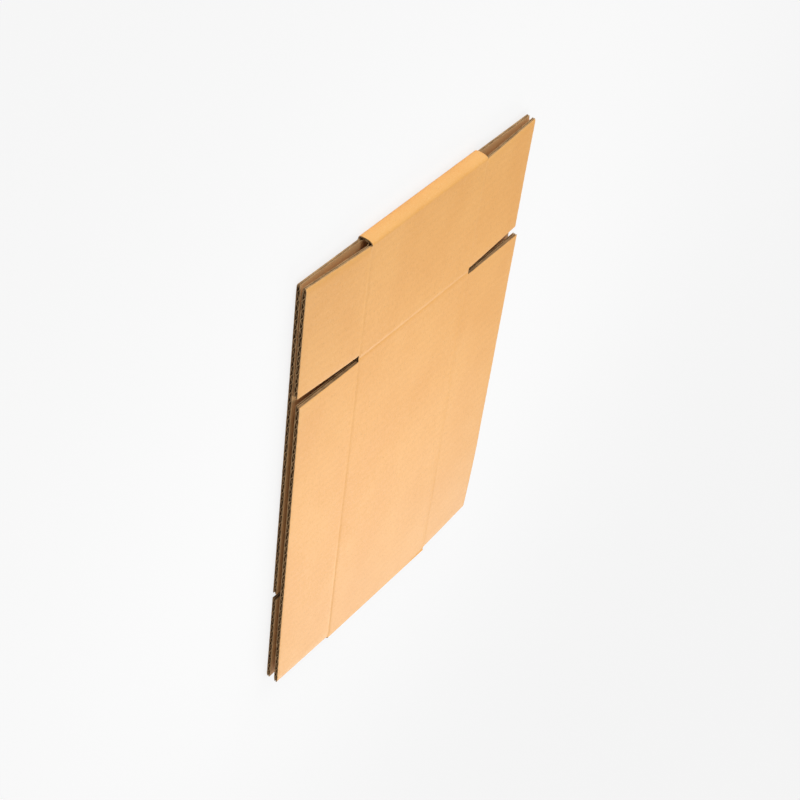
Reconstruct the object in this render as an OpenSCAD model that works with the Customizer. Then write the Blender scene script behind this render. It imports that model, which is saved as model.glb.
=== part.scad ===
// Knocked-down slotted box of single-wall corrugated board, lying flat.
// X runs along the flutes and the box's height, Y across the panels, Z up from the floor.

/* [Panels] */
// Length of a long side panel, from fold to fold
long_panel = 248; // [150:1:400]
// Width of a short side panel, from fold to fold
short_panel = 82; // [60:1:140]
// Height of the box body, between its flap creases
body_height = 96; // [60:1:250]
// Depth of the flaps, a little over half a short panel, so that facing flaps overlap
flap_depth = 47; // [30:1:80]

/* [Board] */
// Thickness of the corrugated board
board = 3; // [2.6:0.1:5]
// Thickness of each flat liner
liner = 0.5; // [0.3:0.05:0.7]
// Upright thickness of the fluted medium
medium = 0.5; // [0.3:0.05:0.7]
// Distance from one flute to the next
flute_pitch = 6.5; // [5:0.1:9]
// Straight stretches that draw one flute
flute_steps = 8; // [4:2:8]

/* [Folds and cuts] */
// Gap that the springy side folds hold open between the two layers
layer_gap = 3.4; // [3:0.1:6]
// Width of the slots between neighbouring flaps
slot_width = 5; // [4:0.5:8]
// Board left at the crushed side folds
fold_wall = 1.8; // [1.2:0.1:2.4]
// Depth of the scored line between the two upper panels
score_depth = 0.8; // [0.3:0.1:1.2]
// Width of the scored lines and of the crushed flap creases
crease_width = 3; // [2:0.5:4]
// Room left under the ends of the short upper flaps, which have sagged
flap_rest_gap = 0.4; // [0.2:0.1:1]

/* [Glued joint] */
// Width of the glue tab inside the lower layer
tab_width = 32; // [20:1:45]
// Thickness of the glue tab, pressed thinner than the board
tab_board = 2.4; // [1.6:0.1:2.6]
// Distance that the tab stops short of each flap crease
tab_trim = 4; // [2:1:10]

/* [Hidden] */
$fn = 48;
kraft = [0.9, 0.68, 0.41];

// Flat outline
flat_width = long_panel + short_panel;
half = flat_width / 2;
flat_length = body_height + 2 * flap_depth;
set_back = slot_width / 2;

// Stacked height
thick = 2 * board + layer_gap;
upper_z = board + layer_gap;

// Edges of the four panels: the lower layer has the long panel where the upper has the short one
score_y = half - short_panel;
joint_y = -half + short_panel;
short_board = short_panel - slot_width;
long_board = long_panel - slot_width;

// Flutes: the medium's crests sink a little into the liners that they are glued to
glue_sink = 0.1;
flute_step = flute_pitch / flute_steps;
crest = board / 2 - liner + glue_sink - medium / 2;
flute_swing = crest / cos(180 / flute_steps);

// Crushed strips lap into the boards beside them
strip_lap = 1.5;
crease_half = crease_width / 2;
crease_dent = board / 4;
crease_sheet = 0.6 * liner;
groove_depth = liner / 2;

// Sag of the short upper flaps, about the middle of the board at their creases
flap_tilt = asin((layer_gap - flap_rest_gap) / flap_depth);
hinge_z = upper_z + board / 2;

// Points along a flute's middle line, with flat crests
function flute_stations(width) =
  concat([0], [for (y = [flute_step / 2 : flute_step : width - flute_step / 4]) y], [width]);
function flute_z(y) = board / 2 + flute_swing * cos(360 * y / flute_pitch);

// A point of a sagging flap, u along the flap from its crease and w above its middle
function on_flap(u, w) = [
  body_height / 2 + u * cos(flap_tilt) + w * sin(flap_tilt),
  hinge_z - u * sin(flap_tilt) + w * cos(flap_tilt)
];

// Draws a section of the Y and Z plane, and extrudes it along X
module along_x(length) {
  rotate([90, 0, 90])
    linear_extrude(length)
      children();
}

// Draws a profile of the X and Z plane, and extrudes it along Y
module along_y(width) {
  translate([0, width, 0])
    rotate([90, 0, 0])
      linear_extrude(width)
        children();
}

// Section across the flutes: two liners with the wavy medium between them
module board_section(width) {
  stations = flute_stations(width);
  upper = [for (y = stations) [y, flute_z(y) + medium / 2]];
  lower = [for (i = [len(stations) - 1 : -1 : 0]) [stations[i], flute_z(stations[i]) - medium / 2]];
  square([width, liner]);
  translate([0, board - liner]) square([width, liner]);
  polygon(concat(upper, lower));
}

// One panel's board, its flutes open at both ends
module panel(width, length) {
  translate([-length / 2, 0, 0])
    along_x(length) board_section(width);
}

// Side fold over the body: the crushed board turns back on itself in a round nose
module side_fold() {
  translate([-body_height / 2, 0, 0])
    along_x(body_height) {
      translate([-strip_lap, 0]) square([strip_lap, board]);
      translate([-strip_lap, upper_z]) square([strip_lap, board]);
      difference() {
        union() {
          translate([0, set_back]) circle(set_back);
          translate([0, thick - set_back]) circle(set_back);
          translate([0, set_back]) square([set_back, thick - slot_width]);
        }
        translate([-slot_width, 0]) square([slot_width, thick]);
        translate([-slot_width, board]) square([slot_width + set_back - fold_wall, layer_gap]);
      }
    }
}

// Scored strip that joins the two upper panels between their slots
module score_strip() {
  edge = set_back + strip_lap;
  translate([-body_height / 2, score_y, upper_z])
    along_x(body_height)
      polygon([
        [-edge, 0],
        [edge, 0],
        [edge, board],
        [crease_half, board],
        [0, board - score_depth],
        [-crease_half, board],
        [-edge, board]
      ]);
}

// Glue tab: it leaves the lower short panel, steps up and lies on the long panel's inner face
module glue_tab() {
  tab_length = body_height - 2 * tab_trim;
  translate([-tab_length / 2, joint_y, 0])
    along_x(tab_length)
      polygon([
        [-set_back - strip_lap, 0],
        [-set_back, 0],
        [set_back, board],
        [tab_width, board],
        [tab_width, board + tab_board],
        [set_back, board + tab_board],
        [-set_back, board],
        [-set_back - strip_lap, board]
      ]);
}

// One liner carried across a flap crease, w above the board's middle and pressed in by dent
module crease_liner(w, dent) {
  body_end = body_height / 2 - crease_half;
  line = [
    [body_end - strip_lap, hinge_z + w],
    [body_end, hinge_z + w],
    [body_height / 2, hinge_z + w - dent],
    on_flap(crease_half, w),
    on_flap(crease_half + strip_lap, w)
  ];
  rise = [0, crease_sheet / 2];
  along_y(short_board)
    polygon(concat(
      [for (p = line) p + rise],
      [for (i = [len(line) - 1 : -1 : 0]) line[i] - rise]
    ));
}

// Short upper flap, sagging from its crushed crease into the gap between the layers
module sagging_flap() {
  liner_middle = (board - liner) / 2;
  translate([0, score_y + set_back, 0]) {
    translate([body_height / 2, 0, hinge_z])
      rotate([0, flap_tilt, 0])
        translate([crease_half, 0, -board / 2])
          along_x(flap_depth - crease_half) board_section(short_board);
    crease_liner(liner_middle, crease_dent);
    crease_liner(-liner_middle, -crease_dent / 2);
  }
}

// Scored groove of a flat flap, cut downwards from the board's face
module flap_groove(width) {
  translate([body_height / 2, 0, 0])
    along_y(width)
      polygon([[-crease_half, 0], [0, -groove_depth], [crease_half, 0]]);
}

// The whole box: one sheet, folded twice and glued once
module flattened_box() {
  color(kraft)
    difference() {
      union() {
        translate([0, joint_y + set_back, 0]) panel(long_board, flat_length);
        translate([0, -half + set_back, 0]) panel(short_board, flat_length);
        translate([0, -half + set_back, upper_z]) panel(long_board, flat_length);
        translate([0, score_y + set_back, upper_z]) panel(short_board, body_height - crease_width);
        for (side = [0, 1])
          mirror([0, side, 0]) translate([0, half - set_back, 0]) side_fold();
        score_strip();
        glue_tab();
        for (side = [0, 1])
          mirror([side, 0, 0]) sagging_flap();
      }
      for (side = [0, 1])
        mirror([side, 0, 0]) {
          translate([0, -half, thick]) flap_groove(long_panel);
          translate([0, -half, 0]) mirror([0, 0, 1]) flap_groove(flat_width);
        }
    }
}

flattened_box();
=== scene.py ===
import math
import bpy
import numpy as np
from mathutils import Matrix, Vector


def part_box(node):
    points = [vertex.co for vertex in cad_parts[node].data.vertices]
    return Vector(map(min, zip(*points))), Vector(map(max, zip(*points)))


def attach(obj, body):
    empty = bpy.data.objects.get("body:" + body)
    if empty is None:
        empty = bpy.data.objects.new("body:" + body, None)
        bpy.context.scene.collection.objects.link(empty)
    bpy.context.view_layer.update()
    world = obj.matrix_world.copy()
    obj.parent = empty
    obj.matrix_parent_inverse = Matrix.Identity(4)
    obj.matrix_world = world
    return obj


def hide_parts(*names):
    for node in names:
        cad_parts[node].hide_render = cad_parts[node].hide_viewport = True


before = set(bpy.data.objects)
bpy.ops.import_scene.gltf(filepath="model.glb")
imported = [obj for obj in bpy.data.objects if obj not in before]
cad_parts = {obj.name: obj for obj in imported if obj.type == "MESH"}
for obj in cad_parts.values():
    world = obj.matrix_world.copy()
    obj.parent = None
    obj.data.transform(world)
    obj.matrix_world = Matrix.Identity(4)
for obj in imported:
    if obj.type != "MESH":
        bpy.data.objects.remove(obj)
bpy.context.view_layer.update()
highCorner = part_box("flattened_box")[1]
halfLength = highCorner.x    # to a flap's end, along the flutes
halfWidth = highCorner.y     # to a side fold, across the panels
stackHeight = highCorner.z   # both layers and the gap between them
print("frame loaded, box", [round(v, 4) for v in (2 * halfLength, 2 * halfWidth, stackHeight)])

# The cut and folded sheet, in metres
sheet = {
    "shortPanel": 0.082,
    "bodyHeight": 0.096,
    "board": 0.003,
    "slotWidth": 0.005,
    "foldWall": 0.0018,       # crushed board at a side fold
    "foldRoundness": 2.5,     # exponent of the nose's outline, 2 is an ellipse
    "tabWidth": 0.032,
    "tabBoard": 0.0024,
    "tabTrim": 0.004,
    "glueFilm": 0.00002,
    "flutePitch": 0.0065,
}
board = sheet["board"]
pitch = sheet["flutePitch"]
setBack = sheet["slotWidth"] / 2
halfBody = sheet["bodyHeight"] / 2
flapDepth = halfLength - halfBody
scoreY = halfWidth - sheet["shortPanel"]
jointY = -scoreY
upperInner = stackHeight - board
layerGap = upperInner - board

# How the sheet lies: what it has sagged and been pressed, in metres or as a share of the board
lie = {
    "shortFlapSag": 0.0026,   # upper short flaps, at their ends
    "shortFlapBend": 1.1,     # 1 is a straight flap, more curves it down
    "longFlapSag": 0.0006,    # upper long flaps, at their ends
    "cornerSag": 0.0021,      # more at the far corner of the right long flap
    "cornerReach": 0.075,
    "cornerBend": 1.6,
    "panelSag": 0.0004,       # upper layer, between its two folds
    "panelUneven": 0.25,      # share of that sag that comes and goes
    "panelUnevenSize": 0.25,
    "waviness": 0.00008,
    "wavinessSize": 0.09,
    "foldHold": 4,            # power of the rise to the folds, which hold the layer up
    "creaseWidth": 0.0011,
    "creasePress": 0.09,
    "creasePressInside": 0.08,
    "creaseFade": 0.004,      # creases run out this far before a side fold
    "scorePress": 0.06,
    "slitWidth": 0.0015,
    "slitPress": 0.23,        # cuts beside the side folds are crushed more than cuts across the flutes
    "slotPress": 0.05,        # slots between the panels show an open flute
    "endWidth": 0.0008,
    "endPress": 0.06,
    "mostPress": 0.30,
    "washboard": 0.000022,    # liner drawn in between the flutes' crests
    "noseStart": 0.001,       # share of a nose's depth beyond which the sheet is no longer flat
    "foldWrinkle": 0.00016,   # dents along the noses of the side folds
    "wrinkleSize": 0.022,
    "wrinkleStretch": 2,      # dents are this much shorter round the nose
    "rawEdge": 0.00022,       # how far a knife-cut edge wanders inwards
    "rawEdgeSize": 0.02,
    "rawEdgeStretch": (3, 9),
}

# How much paler each place is, from 0 to 1: rubbing at the creases, score and slots, and rubbing with a
# painted highlight at the cut edges and on the fold noses
rubbingAndHighlight = {"crease": 0.2, "score": 0.2, "cut": 0.9, "slot": 0.5, "nose": 1.0}

panelNames = ("lowerLong", "upperShort", "upperLong", "lowerShort")

# Sine waves of the unevenness: radians along u and v for each size, and the shift
waves = {
    "crossing": (6.1, 1.3, 4.7, 0.4),   # one sine along u times one along v, each with its own shift
    "falling": (10.7, -8.9, 2.1),
    "rising": (3.3, 13.3, 4.2),
    "shares": (0.5, 0.3, 0.2),          # of the three, in this order
}


# A few crossing sine waves of unlike lengths, from -1 to 1: a smooth unevenness, the same each run
def unevenness(u, v, size):
    u, v = u / size, v / size
    turnsU, shiftU, turnsV, shiftV = waves["crossing"]
    crossing = np.sin(turnsU * u + shiftU) * np.sin(turnsV * v + shiftV)
    falling, rising = (np.sin(turnsU * u + turnsV * v + shift)
                       for turnsU, turnsV, shift in (waves["falling"], waves["rising"]))
    shares = waves["shares"]
    return shares[0] * crossing + shares[1] * falling + shares[2] * rising


# The same waves from 0 to 1, for dents that only go inwards
def dents(u, v, size):
    return (1 + unevenness(u, v, size)) / 2


# A bell over distance, 1 at 0
def bell(distance, width):
    return np.exp(-(distance / width) ** 2)


# Straight stretch of the sheet: its outer and inner faces each lie between two heights,
# and change from one to the other by a smooth step
def straightRun(yFrom, yTo, outerZ, innerZ, count):
    q = np.arange(count) / count
    y = yFrom + (yTo - yFrom) * q
    rise = q * q * (3 - 2 * q)
    outer = np.stack([y, outerZ[0] + (outerZ[1] - outerZ[0]) * rise], 1)
    inner = np.stack([y, innerZ[0] + (innerZ[1] - innerZ[0]) * rise], 1)
    return outer, inner


# Side fold: the outer face is half a superellipse, as high as the stack and as deep as the flaps
# are set back, and the inner face is half an ellipse that leaves the crushed wall in front of it
def foldRun(side, count):
    a = np.pi * np.arange(count) / count
    power = 2 / sheet["foldRoundness"]
    start = halfWidth - setBack
    tall = np.sign(np.cos(a)) * np.abs(np.cos(a)) ** power
    outer = np.stack([start + setBack * np.sin(a) ** power, stackHeight / 2 * (1 - tall)], 1)
    deep = setBack - sheet["foldWall"]
    inner = np.stack([start + deep * np.sin(a), board + layerGap * (1 - np.cos(a)) / 2], 1)
    if side > 0:
        return outer, inner
    turn = np.array([-1.0, -1.0])   # the other fold is this one turned half round the stack's middle
    middle = np.array([0.0, stackHeight])
    return outer * turn + middle, inner * turn + middle


# How the grids are divided
spacing = {
    "fewestCells": 8,         # in any straight stretch across the panels
    "creaseSteps": (-2, -1.3, -0.75, -0.35, 0, 0.35, 0.75, 1.3, 2),   # in crease widths
    "endSteps": (2, 1, 0.4, 0),                                       # in end widths, to the cut
    "digits": 7,              # stations that agree so far are one
}


# The whole sheet from the lower long panel's free edge, round both folds, to the end of the glue tab.
# Gives the outer and inner faces as points of the Y and Z plane, the run along the sheet's middle,
# and the name of the stretch that each cell belongs to. A fold's row of the plan gives only its side.
def sheetRun(perFlute, foldCount):
    step = pitch / perFlute
    low = ((0, 0), (board, board))
    high = ((stackHeight, stackHeight), (upperInner, upperInner))
    tabLow = board + sheet["glueFilm"]
    tabHigh = tabLow + sheet["tabBoard"]
    edge = halfWidth - setBack
    lastY = jointY + sheet["tabWidth"]
    plan = [
        ("lowerLong", jointY + setBack, edge, *low),
        ("frontFold", 1, None, None, None),
        ("upperShort", edge, scoreY + setBack, *high),
        ("score", scoreY + setBack, scoreY - setBack, *high),
        ("upperLong", scoreY - setBack, -edge, *high),
        ("backFold", -1, None, None, None),
        ("lowerShort", -edge, jointY - setBack, *low),
        ("tabStep", jointY - setBack, jointY + setBack, (0, tabLow), (board, tabHigh)),
        ("tab", jointY + setBack, lastY, (tabLow, tabLow), (tabHigh, tabHigh)),
    ]
    outers, inners, cells = [], [], []
    for name, yFrom, yTo, outerZ, innerZ in plan:
        if yTo is None:
            outer, inner = foldRun(yFrom, foldCount)
        else:
            count = max(spacing["fewestCells"], round(abs(yTo - yFrom) / step))
            outer, inner = straightRun(yFrom, yTo, outerZ, innerZ, count)
        outers.append(outer)
        inners.append(inner)
        cells += [name] * len(outer)
    outers.append(np.array([[lastY, tabLow]]))
    inners.append(np.array([[lastY, tabHigh]]))
    outer, inner = np.concatenate(outers), np.concatenate(inners)
    middle = (outer + inner) / 2
    run = np.concatenate([[0], np.cumsum(np.linalg.norm(np.diff(middle, axis=0), axis=1))])
    return outer, inner, run, np.array(cells)


# Stations along the flutes: even over the body and the flaps, and close together at creases and cut ends
def fluteStations(bodySteps, flapSteps):
    crease = halfBody + lie["creaseWidth"] * np.array(spacing["creaseSteps"])
    end = halfLength - lie["endWidth"] * np.array(spacing["endSteps"])
    flap = np.linspace(crease[-1], end[0], flapSteps)
    trim = halfBody - sheet["tabTrim"]
    side = np.concatenate([[trim], crease, flap[1:], end[1:]])
    body = np.linspace(-trim, trim, bodySteps)
    return np.unique(np.round(np.concatenate([-side, body, side]), spacing["digits"]))


# Which cells of the grid are board: the body everywhere but past the tab's trimmed ends, and the four
# panels' flaps beyond the creases, so that slots and notches stay open
def boardCells(x, cells):
    middle = np.abs((x[1:] + x[:-1]) / 2)[:, None]
    isPanel = np.isin(cells, panelNames)[None, :]
    isTab = np.isin(cells, ("tabStep", "tab"))[None, :]
    inBody = (middle < halfBody) & (~isTab | (middle < halfBody - sheet["tabTrim"]))
    return inBody | ((middle >= halfBody) & isPanel)


# Lays the sheet out in space: outer and inner faces as grids over x and the run.
# Creases, score and cut edges press the two faces together, then flaps and panels sag.
def laySheet(x, outer, inner, run):
    x = x[:, None]
    yOut, zOut = outer[:, 0][None, :], outer[:, 1][None, :]
    yIn, zIn = inner[:, 0][None, :], inner[:, 1][None, :]
    isUpper = ((zOut + zIn) / 2 > stackHeight / 2).astype(float)
    toFold = halfWidth - setBack - np.abs(yOut)   # below 0 in the noses of the side folds
    noseDepth = np.clip(-toFold / setBack, 0, 1)
    flat = np.where(noseDepth > lie["noseStart"], 0.0, 1.0)
    pastCrease = np.maximum(np.abs(x) - halfBody, 0)
    reach = np.clip(pastCrease / flapDepth, 0, 1)

    # nearness to the flap creases, the score, the flap ends, the slots and the slits beside the folds
    offFold = np.clip(toFold / lie["creaseFade"], 0, 1)
    crease = bell(np.abs(x) - halfBody, lie["creaseWidth"]) * flat * offFold
    score = bell(yOut - scoreY, lie["creaseWidth"]) * isUpper * (np.abs(x) <= halfBody)
    endCut = np.exp(-(halfLength - np.abs(x)) / lie["endWidth"])
    seamY = np.where(isUpper > 0, scoreY, jointY)
    cutStart = np.clip(pastCrease / lie["slitWidth"], 0, 1)
    slot = np.exp(-np.abs(np.abs(yOut - seamY) - setBack) / lie["slitWidth"]) * cutStart
    slit = np.exp(-np.abs(toFold) / lie["slitWidth"]) * cutStart

    cutPress = np.maximum(lie["endPress"] * endCut, lie["slitPress"] * slit)
    cutPress = np.maximum(cutPress, lie["slotPress"] * slot)
    flute = np.cos(2 * np.pi * run / pitch)[None, :]
    pressOut = lie["creasePress"] * crease + lie["scorePress"] * score + cutPress
    pressOut = np.minimum(pressOut, lie["mostPress"]) + lie["washboard"] / board * (1 + flute) / 2
    wrinkle = dents(x, zOut * lie["wrinkleStretch"], lie["wrinkleSize"])
    pressOut = pressOut + lie["foldWrinkle"] / sheet["foldWall"] * wrinkle * noseDepth ** 2
    pressIn = lie["creasePressInside"] * np.maximum(crease, score) + cutPress
    pressIn = np.minimum(pressIn, lie["mostPress"])

    # sag of the upper layer and its flaps, none below, so that the sheet stays flat on the floor
    toCorner = np.hypot(x - halfLength, yOut + halfWidth)
    nearCorner = np.clip(1 - toCorner / lie["cornerReach"], 0, 1)
    longSag = lie["longFlapSag"] * reach + lie["cornerSag"] * nearCorner ** lie["cornerBend"]
    flapSag = np.where(yOut > scoreY, lie["shortFlapSag"] * reach ** lie["shortFlapBend"], longSag)
    between = 1 - (yOut / halfWidth) ** lie["foldHold"]
    comeAndGo = lie["panelUneven"] * (unevenness(x, yOut, lie["panelUnevenSize"]) - 1)
    panelSag = lie["panelSag"] * between * (1 + comeAndGo)
    uneven = lie["waviness"] * between * (1 + unevenness(x, yOut, lie["wavinessSize"]))
    sag = isUpper * flat * (flapSag + panelSag + uneven)

    # the knife's line wanders a little inwards at the flap ends
    stretchY, stretchZ = lie["rawEdgeStretch"]
    wander = lie["rawEdge"] * dents(yOut * stretchY, zOut * stretchZ, lie["rawEdgeSize"]) * endCut
    xLaid = x - np.sign(x) * wander

    outerFace = np.stack(np.broadcast_arrays(
        xLaid, yOut + (yIn - yOut) * pressOut, zOut + (zIn - zOut) * pressOut - sag), -1)
    innerFace = np.stack(np.broadcast_arrays(
        xLaid, yIn + (yOut - yIn) * pressIn, zIn + (zOut - zIn) * pressIn - sag), -1)
    # paler paper: rubbing at creases, score and slots, and rubbing with a painted highlight on the fold
    # noses and at cut edges
    wearAndHighlight = rubbingAndHighlight["crease"] * crease + rubbingAndHighlight["score"] * score + rubbingAndHighlight["nose"] * noseDepth
    wearAndHighlight = wearAndHighlight + rubbingAndHighlight["cut"] * np.maximum(endCut, slit) + rubbingAndHighlight["slot"] * slot
    return outerFace, innerFace, np.broadcast_to(np.clip(wearAndHighlight, 0, 1), outerFace.shape[:2])


crispAngle = math.radians(40)   # edges that turn more than this stay sharp


# A ply between two grids of points: cells where the mask is true become faces on both sides,
# and each edge with no neighbouring cell gets a rim face. Every face points out of the ply.
def closedPly(name, outside, inside, mask, run, wearAndHighlight, materials):
    rows, columns = outside.shape[:2]
    number = np.arange(rows * columns).reshape(rows, columns)
    corners = [number[:-1, :-1], number[:-1, 1:], number[1:, 1:], number[1:, :-1]]
    top = np.stack([c[mask] for c in corners], 1)
    bottom = top[:, ::-1] + rows * columns
    padded = np.pad(mask, 1)
    neighbours = [padded[:-2, 1:-1], padded[1:-1, 2:], padded[2:, 1:-1], padded[1:-1, :-2]]
    rims = []
    for k, neighbour in enumerate(neighbours):
        bare = mask & ~neighbour
        p, q = corners[k][bare], corners[(k + 1) % 4][bare]
        rims.append(np.stack([q, p, p + rows * columns, q + rows * columns], 1))
    rim = np.concatenate(rims)
    faces = np.concatenate([top, bottom, rim])
    slots = np.repeat(np.arange(3, dtype=np.int32), (len(top), len(bottom), len(rim)))

    points = np.concatenate([outside.reshape(-1, 3), inside.reshape(-1, 3)])
    used, faces = np.unique(faces, return_inverse=True)   # drops the points inside slots
    faces = faces.reshape(-1, 4)
    mesh = bpy.data.meshes.new(name)
    mesh.from_pydata(points[used], [], faces)
    mesh.polygons.foreach_set("material_index", slots)
    along = np.tile(np.broadcast_to(run[None, :], (rows, columns)).ravel(), 2)[used]
    uv = np.stack([points[used][:, 0], along], 1)
    layer = mesh.uv_layers.new(name="sheetRun")
    layer.uv.foreach_set("vector", uv[faces.ravel()].astype(np.float32).ravel())
    # paleness from rubbing and from the painted highlight, kept on the points for the paint
    wearAndHighlightLayer = mesh.attributes.new("wearAndHighlight", "FLOAT", "POINT")
    wearAndHighlightLayer.data.foreach_set("value", np.tile(wearAndHighlight.ravel(), 2)[used].astype(np.float32))
    for material in materials:
        mesh.materials.append(material)
    mesh.shade_smooth()
    mesh.set_sharp_from_angle(angle=crispAngle)
    mesh.validate()
    mesh.update()
    piece = bpy.data.objects.new(name, mesh)
    bpy.context.scene.collection.objects.link(piece)
    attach(piece, "root")
    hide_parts("flattened_box")
    print(name, "has", len(faces), "faces")


# Written colours are the eye's 0 to 255 values, turned by the sRGB curve to the linear ones of shaders
def tone(red, green, blue):
    share = np.array([red, green, blue]) / 255
    linear = np.where(share > 0.04045, ((share + 0.055) / 1.055) ** 2.4, share / 12.92)
    return (*linear.tolist(), 1.0)


# A material's tree with its shader, and short helpers that add and join nodes
class Paint:
    def __init__(self, name, look):
        self.look = look
        self.material = bpy.data.materials.new(name)
        self.material.use_nodes = True
        self.tree = self.material.node_tree
        self.shader = self.tree.nodes["Principled BSDF"]
        self.shader.inputs["Specular IOR Level"].default_value = look["gloss"]

    # a number or colour sets the socket, another node's output is joined to it
    def put(self, value, socket):
        if isinstance(value, bpy.types.NodeSocket):
            self.tree.links.new(value, socket)
        else:
            socket.default_value = value

    def add(self, kind, inputs=None, **settings):
        node = self.tree.nodes.new(kind)
        for key, value in settings.items():
            setattr(node, key, value)
        for key, value in (inputs or {}).items():
            self.put(value, node.inputs[key])
        return node

    # noise on the object's own coordinates, stretched by a scale for each axis
    def noise(self, grain):
        place = self.add("ShaderNodeTexCoord").outputs["Object"]
        mapped = self.add("ShaderNodeMapping", {"Vector": place, "Scale": grain["scale"]})
        made = self.add("ShaderNodeTexNoise", {
            "Vector": mapped.outputs["Vector"], "Scale": 1.0,
            "Detail": grain["detail"], "Roughness": grain["roughness"]})
        return made.outputs["Fac"]

    def ramp(self, value, low, high):
        made = self.add("ShaderNodeMapRange", {"Value": value, "From Min": low, "From Max": high},
                        interpolation_type="SMOOTHSTEP")
        return made.outputs["Result"]

    def times(self, a, b):
        return self.add("ShaderNodeMath", {0: a, 1: b}, operation="MULTIPLY").outputs["Value"]

    def mix(self, amount, a, b):
        made = self.add("ShaderNodeMix", data_type="RGBA")
        for key, value in (("Factor", amount), ("A", a), ("B", b)):
            self.put(value, next(s for s in made.inputs if s.name == key and s.enabled))
        return next(s for s in made.outputs if s.enabled)

    # flutes as a wave of -1 to 1 along the sheet's run, 1 between their crests, where the liner is drawn
    # in
    def flutes(self):
        place = self.add("ShaderNodeUVMap", uv_map="sheetRun").outputs["UV"]
        along = self.add("ShaderNodeSeparateXYZ", {"Vector": place}).outputs["Y"]
        turns = self.times(along, 2 * math.pi / pitch)
        return self.add("ShaderNodeMath", {0: turns}, operation="COSINE").outputs["Value"]

    # how pale the paper is from rubbing and from the painted highlight
    def wearAndHighlight(self):
        return self.add("ShaderNodeAttribute", attribute_name="wearAndHighlight").outputs["Fac"]

    # colour, then roughness a little either side of its middle, and bump, both from the same fibres
    def finish(self, colour, height):
        look = self.look
        low, high = look["roughRange"]
        rough = self.add("ShaderNodeMapRange", {
            "Value": height, "From Min": low, "From Max": high,
            "To Min": look["roughness"] - look["roughSwing"],
            "To Max": look["roughness"] + look["roughSwing"]})
        bump = self.add("ShaderNodeBump", {
            "Height": height, "Strength": look["bump"], "Distance": look["bumpDepth"]})
        self.put(colour, self.shader.inputs["Base Color"])
        self.put(rough.outputs["Result"], self.shader.inputs["Roughness"])
        self.put(bump.outputs["Normal"], self.shader.inputs["Normal"])
        return self.material


kraftLook = {
    "tone": tone(237, 172, 92),
    "paleTone": tone(242, 180, 101),
    # dark fibres, and the painted shade between the flutes' crests
    "fibreAndFluteShadeTone": tone(212, 147, 76),
    "fleckTone": tone(160, 106, 56),
    # pale fibres, rubbed paper and the painted highlight share this tone
    "wornAndHighlightTone": tone(250, 208, 152),
    "fluteShade": 0.05,          # share of painted shade between the flutes' crests
    "darkFibres": 0.45,
    "paleFibres": 0.26,
    "flecks": 0.30,
    "rubbedAndHighlight": 0.50,
    "rubbedAndHighlightRange": (0.35, 0.65),
    "cloudGrain": {"scale": (30, 18, 30), "detail": 3.0, "roughness": 0.55, "range": (0.25, 0.75)},
    "fibreGrain": {"scale": (2600, 480, 2600), "detail": 4.0, "roughness": 0.65, "range": (0.45, 0.75)},
    "crossGrain": {"scale": (620, 2300, 2300), "detail": 3.0, "roughness": 0.60, "range": (0.50, 0.72)},
    "fleckGrain": {"scale": (1500, 700, 1500), "detail": 1.0, "roughness": 0.55, "range": (0.70, 0.76)},
    "roughness": 0.47,
    "roughSwing": 0.07,
    "roughRange": (0.3, 0.7),
    "gloss": 0.08,
    "bump": 0.25,
    "bumpDepth": 0.0002,
}

# The inside is a duller paper
innerLook = dict(
    kraftLook,
    tone=tone(212, 166, 112),
    paleTone=tone(218, 174, 122),
    fibreAndFluteShadeTone=tone(186, 142, 92),
    wornAndHighlightTone=tone(226, 190, 144),
    roughness=0.80,
    gloss=0.18,
)


# Kraft liner: clouds a few centimetres wide, dark fibres drawn out across the flutes and pale ones
# along them, a few flecks, faint painted shade between the flutes' crests, and paler paper where it has
# been folded or cut, which is rubbing and, on the fold noses and cut edges, also a painted highlight
def kraftPaint(name, look):
    paint = Paint(name, look)
    grains = [look[key] for key in ("cloudGrain", "fibreGrain", "crossGrain", "fleckGrain")]
    noises = [paint.noise(grain) for grain in grains]
    clouds, fibres, crossFibres, flecks = [
        paint.ramp(noise, *grain["range"]) for noise, grain in zip(noises, grains)]
    plainFibres = noises[1]
    colour = paint.mix(clouds, look["tone"], look["paleTone"])
    colour = paint.mix(paint.times(fibres, look["darkFibres"]), colour, look["fibreAndFluteShadeTone"])
    colour = paint.mix(paint.times(crossFibres, look["paleFibres"]), colour, look["wornAndHighlightTone"])
    colour = paint.mix(paint.times(flecks, look["flecks"]), colour, look["fleckTone"])
    # painted shade: a little darker between the flutes' crests, where the liner is drawn in
    fluteShade = paint.times(paint.ramp(paint.flutes(), -1.0, 1.0), look["fluteShade"])
    colour = paint.mix(fluteShade, colour, look["fibreAndFluteShadeTone"])
    # painted highlight and wear: paler where the paper is rubbed, most on the fold noses and at cut
    # edges
    rubbedAndHighlight = paint.times(paint.wearAndHighlight(), paint.ramp(plainFibres, *look["rubbedAndHighlightRange"]))
    colour = paint.mix(paint.times(rubbedAndHighlight, look["rubbedAndHighlight"]), colour, look["wornAndHighlightTone"])
    return paint.finish(colour, plainFibres)


rawLook = {
    "tone": tone(184, 147, 103),
    "darkTone": tone(140, 107, 71),
    "paleTone": tone(210, 174, 130),
    "patchGrain": {"scale": (160, 160, 400), "detail": 3.0, "roughness": 0.55, "range": (0.35, 0.65)},
    "fibreGrain": {"scale": (1800, 1800, 5200), "detail": 4.0, "roughness": 0.70, "range": (0.45, 0.75)},
    "roughness": 0.90,
    "roughSwing": 0.07,
    "roughRange": (0.3, 0.7),
    "gloss": 0.15,
    "bump": 0.5,
    "bumpDepth": 0.0002,
}

# The medium is a darker, greyer paper
flutingLook = dict(
    rawLook,
    tone=tone(172, 136, 96),
    darkTone=tone(136, 105, 72),
    paleTone=tone(196, 160, 118),
)


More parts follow.
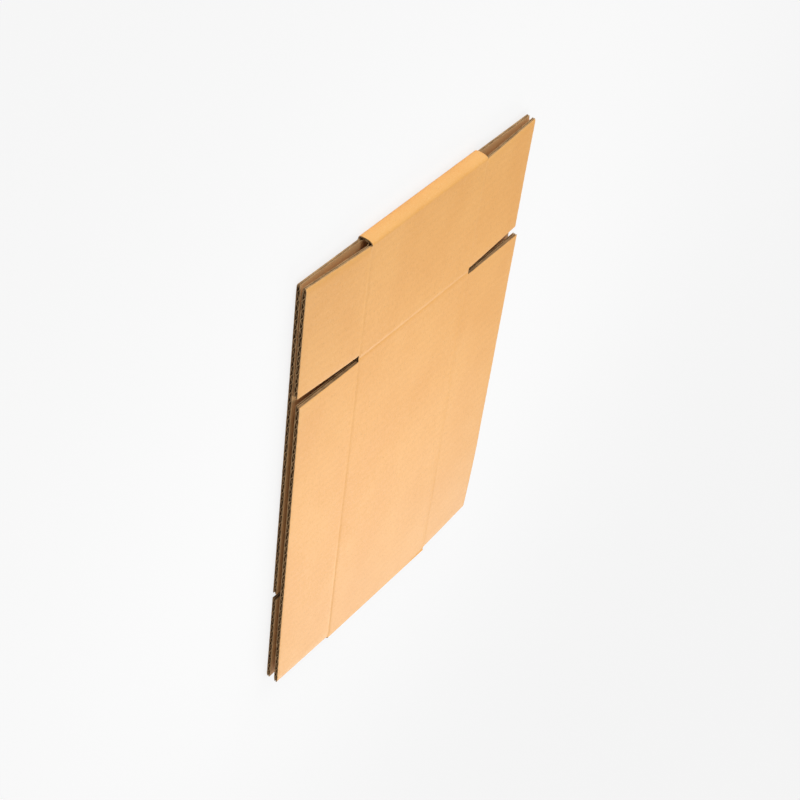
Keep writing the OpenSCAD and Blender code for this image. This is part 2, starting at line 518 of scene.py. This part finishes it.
# Raw paper: rough fibres in browns, darker in patches, as a knife leaves it
def rawPaint(name, look):
    paint = Paint(name, look)
    patches = paint.ramp(paint.noise(look["patchGrain"]), *look["patchGrain"]["range"])
    fibres = paint.noise(look["fibreGrain"])
    colour = paint.mix(patches, look["darkTone"], look["tone"])
    colour = paint.mix(paint.ramp(fibres, *look["fibreGrain"]["range"]), colour, look["paleTone"])
    return paint.finish(colour, fibres)


outerKraft = kraftPaint("outer_kraft", kraftLook)
innerKraft = kraftPaint("inner_kraft", innerLook)
rawEdge = rawPaint("raw_edge", rawLook)
flutingPaper = rawPaint("fluting_paper", flutingLook)
print("materials made")


# Grids of one piece's own fineness, with the direction from the outer to the inner face
def layFor(piece):
    outer, inner, run, cells = sheetRun(piece["perFlute"], piece["foldCount"])
    x = fluteStations(piece["bodySteps"], piece["flapSteps"])
    outerFace, innerFace, wearAndHighlight = laySheet(x, outer, inner, run)
    across = innerFace - outerFace
    depth = np.linalg.norm(across, axis=-1, keepdims=True)
    return outerFace, innerFace, across / depth, depth, run, wearAndHighlight, boardCells(x, cells)


outerLiner = {"thickness": 0.00045, "perFlute": 6, "foldCount": 24, "bodySteps": 15, "flapSteps": 7}
outerFace, innerFace, inward, depth, run, wearAndHighlight, mask = layFor(outerLiner)
closedPly("outer_liner", outerFace, outerFace + inward * outerLiner["thickness"], mask, run, wearAndHighlight,
          [outerKraft, flutingPaper, rawEdge])

innerLiner = {"thickness": 0.00045, "perFlute": 2, "foldCount": 16, "bodySteps": 9, "flapSteps": 5}
outerFace, innerFace, inward, depth, run, wearAndHighlight, mask = layFor(innerLiner)
closedPly("inner_liner", innerFace - inward * innerLiner["thickness"], innerFace, mask, run, wearAndHighlight,
          [flutingPaper, innerKraft, rawEdge])

# The medium is a cosine of the run that swings as far as the liners leave room, so it flattens where
# they are pressed together, and it is thicker where it slopes so that its paper stays even
fluting = {
    "thickness": 0.00040,
    "sink": 0.00004,          # how far its crests sink into the liners they are glued to
    "perFlute": 10,
    "foldCount": 20,
    "bodySteps": 5,
    "flapSteps": 3,
}
outerFace, innerFace, inward, depth, run, wearAndHighlight, mask = layFor(fluting)
turn = (2 * np.pi * run / pitch)[None, :, None]
room = depth / 2 - outerLiner["thickness"] - fluting["thickness"] / 2 + fluting["sink"]
swing = np.maximum(room, 0)
slope = swing * 2 * np.pi / pitch * np.sin(turn)
halfPaper = fluting["thickness"] / 2 * np.sqrt(1 + slope ** 2)
middle = outerFace + inward * (depth / 2 + swing * np.cos(turn))
closedPly("fluted_medium", middle - inward * halfPaper, middle + inward * halfPaper, mask, run, wearAndHighlight,
          [flutingPaper, flutingPaper, rawEdge])

studio = {
    "floorTone": (0.90, 0.90, 0.90, 1.0),
    "floorReach": 25.0,
    "floorDrop": 0.0002,      # keeps the floor clear of the sheet's underside
    "floorGlow": 0.80,        # share of plain white in what the camera sees of the floor
    "worldTone": (1.0, 1.0, 1.0, 1.0),
    "worldStrength": 0.37,
    "worldGlow": 0.908,       # what the camera sees of it, as bright as the far floor
    "keyFrom": (0.45, 1.8, 0.45),
    "keyStrength": 1.8,
    "keyAngle": 32.0,
    "fillPlace": (-0.03, -0.02, 0.40),
    "fillSize": 0.3,
    "fillPower": 0.72,
    "sheenFrom": (0.57, -1.0, 0.37),
    "sheenStrength": 0.95,
    "sheenAngle": 21.0,
}


# 1 for a ray that shows the surface to the camera, straight or by a reflection,
# and 0 for light that spreads
def seenRay(tree):
    path = tree.nodes.new("ShaderNodeLightPath").outputs
    seen = path["Is Camera Ray"]
    for kind in ("Is Glossy Ray", "Is Transmission Ray"):
        either = tree.nodes.new("ShaderNodeMath")
        either.operation = "MAXIMUM"
        tree.links.new(seen, either.inputs[0])
        tree.links.new(path[kind], either.inputs[1])
        seen = either.outputs["Value"]
    return seen


# A wide pale floor under the sheet: matt paint that takes the shadow, part white to the camera
def makeFloor():
    mesh = bpy.data.meshes.new("floor")
    reach = studio["floorReach"]
    mesh.from_pydata([(-reach, -reach, 0), (reach, -reach, 0), (reach, reach, 0), (-reach, reach, 0)],
                     [], [(0, 1, 2, 3)])
    material = bpy.data.materials.new("floor_paint")
    material.use_nodes = True
    tree = material.node_tree
    tree.nodes.clear()
    matt = tree.nodes.new("ShaderNodeBsdfDiffuse")
    matt.inputs["Color"].default_value = studio["floorTone"]
    white = tree.nodes.new("ShaderNodeEmission")
    share = tree.nodes.new("ShaderNodeMath")
    share.operation = "MULTIPLY"
    share.inputs[1].default_value = studio["floorGlow"]
    tree.links.new(seenRay(tree), share.inputs[0])
    both = tree.nodes.new("ShaderNodeMixShader")
    tree.links.new(share.outputs["Value"], both.inputs["Fac"])
    tree.links.new(matt.outputs["BSDF"], both.inputs[1])
    tree.links.new(white.outputs["Emission"], both.inputs[2])
    out = tree.nodes.new("ShaderNodeOutputMaterial")
    tree.links.new(both.outputs["Shader"], out.inputs["Surface"])
    mesh.materials.append(material)
    floor = bpy.data.objects.new("floor", mesh)
    floor.location.z = -studio["floorDrop"]
    bpy.context.scene.collection.objects.link(floor)


# Even white surroundings, a low soft key from beyond the short panel, a weak fill above the middle,
# and a weaker low light from beyond the long panel that gives the paper its sheen
def makeLight():
    world = bpy.data.worlds.new("studio")
    world.use_nodes = True
    tree = world.node_tree
    background = tree.nodes["Background"]
    background.inputs["Color"].default_value = studio["worldTone"]
    strength = tree.nodes.new("ShaderNodeMath")
    strength.operation = "MULTIPLY_ADD"
    strength.inputs[1].default_value = studio["worldGlow"] - studio["worldStrength"]
    strength.inputs[2].default_value = studio["worldStrength"]
    tree.links.new(seenRay(tree), strength.inputs[0])
    tree.links.new(strength.outputs["Value"], background.inputs["Strength"])
    bpy.context.scene.world = world

    key = bpy.data.lights.new("key", "SUN")
    key.energy = studio["keyStrength"]
    key.angle = math.radians(studio["keyAngle"])
    fill = bpy.data.lights.new("fill", "AREA")
    fill.energy = studio["fillPower"]
    fill.size = studio["fillSize"]
    sheen = bpy.data.lights.new("sheen", "SUN")
    sheen.energy = studio["sheenStrength"]
    sheen.angle = math.radians(studio["sheenAngle"])
    places = (studio["keyFrom"], studio["fillPlace"], studio["sheenFrom"])
    for lamp, place in zip((key, fill, sheen), places):
        light = bpy.data.objects.new(lamp.name, lamp)
        light.location = place
        light.rotation_euler = Vector(place).to_track_quat("Z", "Y").to_euler()
        light.visible_camera = False
        bpy.context.scene.collection.objects.link(light)


# The camera stands to the sheet's face as in the photograph,
# turned so that the short panel is at the top
view = {
    "place": (-0.609, 0.766, 0.402),
    "top": (0.522, 0.688, -0.505),
    "lookAt": (0.0026, 0.0104, 0.005),
    "lens": 82.7,
    "sensor": 36.0,
    "nearest": 0.01,
}


# Its axes are the way back from the sheet, the way right across the picture's top, and the way up
def makeCamera():
    camera = bpy.data.cameras.new("camera")
    camera.lens = view["lens"]
    camera.sensor_width = view["sensor"]
    camera.clip_start = view["nearest"]
    seen = bpy.data.objects.new("camera", camera)
    back = (Vector(view["place"]) - Vector(view["lookAt"])).normalized()
    right = Vector(view["top"]).cross(back).normalized()
    turned = Matrix((right, back.cross(right), back)).transposed().to_4x4()
    seen.matrix_world = Matrix.Translation(view["place"]) @ turned
    bpy.context.scene.collection.objects.link(seen)
    bpy.context.scene.camera = seen


makeFloor()
makeLight()
makeCamera()
bpy.context.scene.view_settings.view_transform = "Standard"
print("floor, light and camera set")
